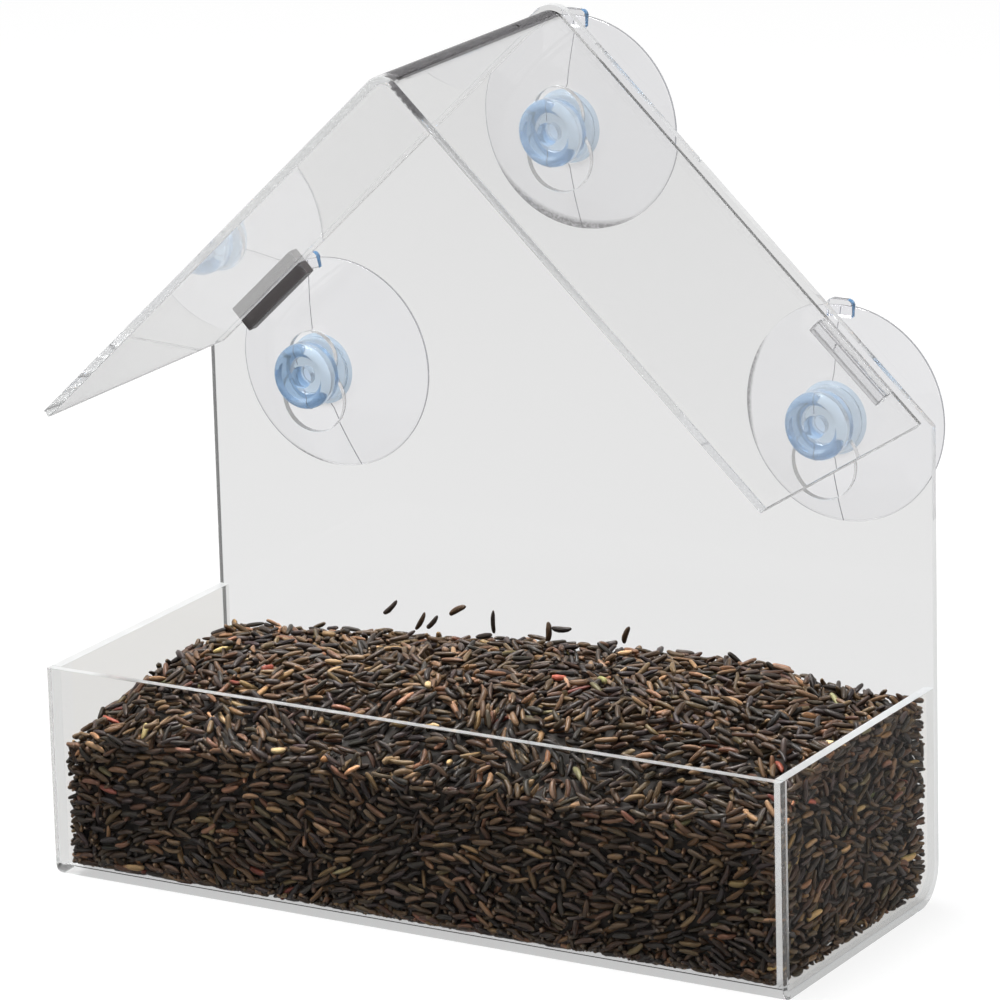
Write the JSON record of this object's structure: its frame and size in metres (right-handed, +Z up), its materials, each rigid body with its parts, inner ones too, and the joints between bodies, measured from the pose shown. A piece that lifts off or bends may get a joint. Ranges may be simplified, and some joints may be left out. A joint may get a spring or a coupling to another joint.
{
  "type": "window bird feeder",
  "caption": "Clear acrylic house-shaped bird feeder: a seed tray under a pitched roof, held on a window pane by soft suction cups that sit in keyholes.",
  "frame": {"origin": "centre of the floor's flat underside", "axes": "+Z up, +Y towards the window pane, the open feeding side faces -Y, +X to the right seen from the front"},
  "size_m": [0.15, 0.0681, 0.1573],
  "materials": {
    "clear_acrylic": "clear polished sheet with pale grey cut edges",
    "clear_vinyl": "clear soft vinyl with a light blue cast, glossy",
    "seed": "loose slender seed, near black and brown with a dull shine"
  },
  "bodies": {
    "feeder": {"body_sheet": "clear_acrylic", "left_end_panel": "clear_acrylic", "right_end_panel": "clear_acrylic", "roof_sheet": "clear_acrylic", "left_roof_strip": "clear_acrylic", "right_roof_strip": "clear_acrylic", "seed_fill": "seed"},
    "top_cup": {"top_suction_cup": "clear_vinyl"},
    "left_cup": {"left_suction_cup": "clear_vinyl"},
    "right_cup": {"right_suction_cup": "clear_vinyl"}
  },
  "joints": [
    {"name": "top_cup_slide", "type": "slide", "parent": "feeder", "child": "top_cup", "axis": [0, 0, 1], "range_m": [-0.0072, 0.0037]},
    {"name": "left_cup_slide", "type": "slide", "parent": "feeder", "child": "left_cup", "axis": [0, 0, 1], "range_m": [-0.0072, 0.0037]},
    {"name": "right_cup_slide", "type": "slide", "parent": "feeder", "child": "right_cup", "axis": [0, 0, 1], "range_m": [-0.0096, 0.0013]}
  ]
}
